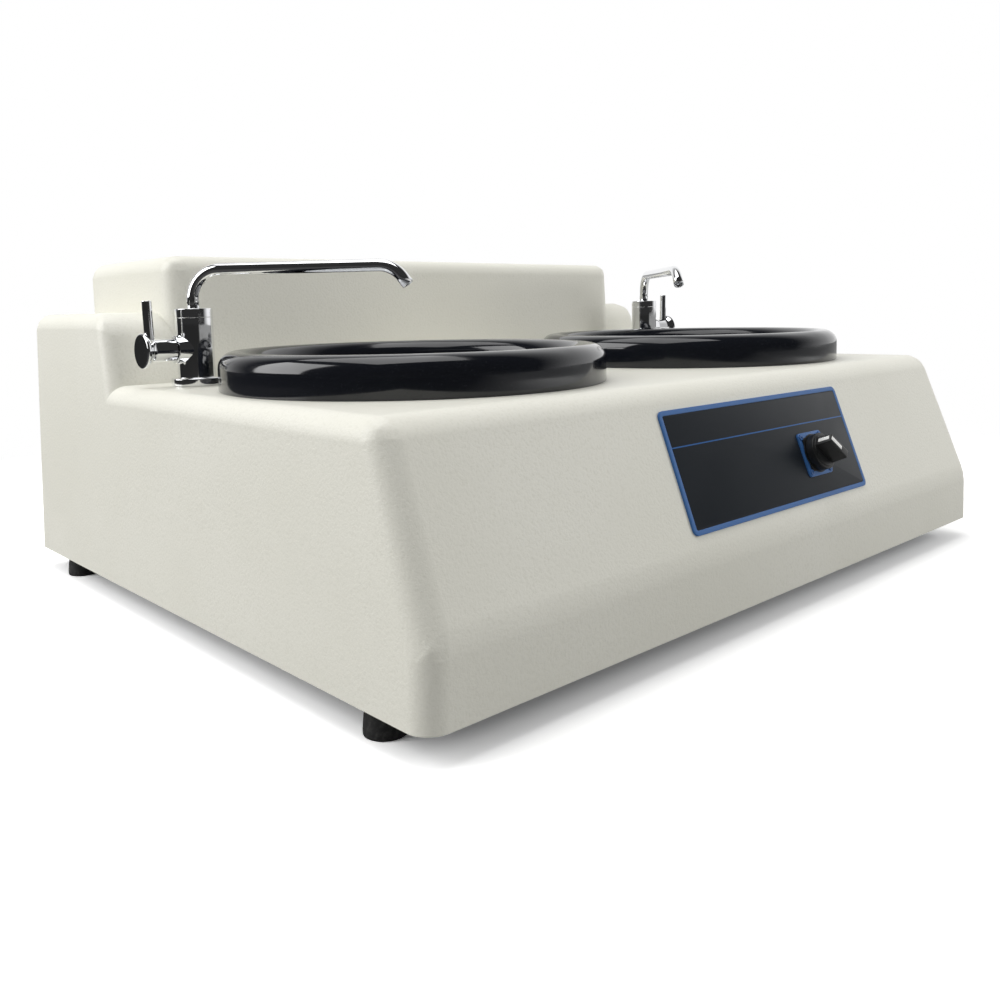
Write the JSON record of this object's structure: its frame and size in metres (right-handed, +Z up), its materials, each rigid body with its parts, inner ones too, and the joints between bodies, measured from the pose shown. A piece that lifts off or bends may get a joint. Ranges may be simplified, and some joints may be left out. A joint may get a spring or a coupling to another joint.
{
  "type": "metallographic grinding and polishing machine",
  "caption": "Bench-top metallographic grinder and polisher: moulded shell, round bowls with spinning platens, swinging water taps, a rotary switch and a belt drive.",
  "frame": {"origin": "floor under the middle of the machine's overall box", "axes": "+X to the machine's right, +Y to its back, +Z up; the operator stands at -Y"},
  "size_m": [0.7, 0.6292, 0.29],
  "materials": {
    "shell_white": "semi-gloss gel coat over glass-fibre, lightly pebbled",
    "zinc_plate": "zinc-plated sheet",
    "frame_paint": "satin grey paint",
    "foot_rubber": "matte black rubber",
    "zinc_steel": "zinc-plated fasteners",
    "bowl_black": "gloss black moulding",
    "platen_aluminium": "turned face",
    "ground_steel": "ground steel",
    "cast_grey": "turned casting",
    "belt_rubber": "wrapped V-belt",
    "motor_paint": "satin blue-grey enamel",
    "fan_cover_black": "matte black",
    "tap_chrome": "bright chrome plate",
    "plain_brass": "unplated brass",
    "panel_black": "satin black plate, no lettering",
    "panel_blue": "satin blue",
    "switch_black": "black moulding with white pointer lines",
    "pipe_grey": "grey waste pipe",
    "gland_black": "black nylon"
  },
  "bodies": {
    "machine": {"shell": "shell_white", "base_plate": "zinc_plate", "drive_frame": "frame_paint", "feet": "foot_rubber", "foot_screws": "zinc_steel", "shell_screws": "zinc_steel", "left_bowl": "bowl_black", "right_bowl": "bowl_black", "left_belt": "belt_rubber", "right_belt": "belt_rubber", "left_housing": "cast_grey", "right_housing": "cast_grey", "left_bearings": "ground_steel", "right_bearings": "ground_steel", "housing_bolts": "zinc_steel", "motor_body": "motor_paint", "motor_fan_cover": "fan_cover_black", "motor_terminal_box": "motor_paint", "motor_bolts": "zinc_steel", "left_tap_body": "tap_chrome", "left_tap_cap": "tap_chrome", "left_tap_nut": "plain_brass", "right_tap_body": "tap_chrome", "right_tap_cap": "tap_chrome", "right_tap_nut": "plain_brass", "control_panel": "panel_black", "panel_frame": "panel_blue", "switch_plate": "panel_blue", "switch_body": "switch_black", "switch_screws": "panel_blue", "drain_pipe": "pipe_grey", "water_inlet": "plain_brass", "left_supply_pipe": "plain_brass", "right_supply_pipe": "plain_brass", "cable_gland": "gland_black"},
    "left_drive": {"left_spindle": "ground_steel", "left_pulley": "cast_grey", "left_platen": "platen_aluminium"},
    "right_drive": {"right_spindle": "ground_steel", "right_pulley": "cast_grey", "right_platen": "platen_aluminium"},
    "motor_drive": {"motor_rotor": "ground_steel", "motor_pulley": "cast_grey"},
    "left_spout_arm": {"left_spout": "tap_chrome"},
    "right_spout_arm": {"right_spout": "tap_chrome"},
    "left_handle": {"left_tap_handle": "tap_chrome"},
    "right_handle": {"right_tap_handle": "tap_chrome"},
    "knob": {"switch_knob": "switch_black"}
  },
  "joints": [
    {"name": "left_platen_spin", "type": "hinge", "parent": "machine", "child": "left_drive", "pos_m": [-0.177, -0.08338, 0.191], "axis": [0, 0, 1], "continuous": true},
    {"name": "right_platen_spin", "type": "hinge", "parent": "machine", "child": "right_drive", "pos_m": [0.177, -0.08338, 0.191], "axis": [0, 0, 1], "continuous": true},
    {"name": "motor_spin", "type": "hinge", "parent": "machine", "child": "motor_drive", "pos_m": [0, 0.19962, 0.06], "axis": [0, 0, 1], "continuous": true},
    {"name": "left_spout_swivel", "type": "hinge", "parent": "machine", "child": "left_spout_arm", "pos_m": [-0.2907, 0.05962, 0.244], "axis": [0, 0, 1], "range_deg": [-125, 55]},
    {"name": "right_spout_swivel", "type": "hinge", "parent": "machine", "child": "right_spout_arm", "pos_m": [0.2907, 0.05962, 0.244], "axis": [0, 0, 1], "range_deg": [-55, 125]},
    {"name": "left_handle_turn", "type": "hinge", "parent": "machine", "child": "left_handle", "pos_m": [-0.32, 0.05962, 0.2113], "axis": [1, 0, 0], "range_deg": [0, 90]},
    {"name": "right_handle_turn", "type": "hinge", "parent": "machine", "child": "right_handle", "pos_m": [0.32, 0.05962, 0.2113], "axis": [1, 0, 0], "range_deg": [0, 90]},
    {"name": "switch_turn", "type": "hinge", "parent": "machine", "child": "knob", "pos_m": [0.069, -0.29811, 0.11958], "axis": [0, -0.934, 0.3573], "range_deg": [-90, 0]}
  ],
  "couplings": [
    {"joint": "right_platen_spin", "follows": "left_platen_spin", "ratio": 1.3357},
    {"joint": "motor_spin", "follows": "left_platen_spin", "ratio": 3.1167}
  ]
}
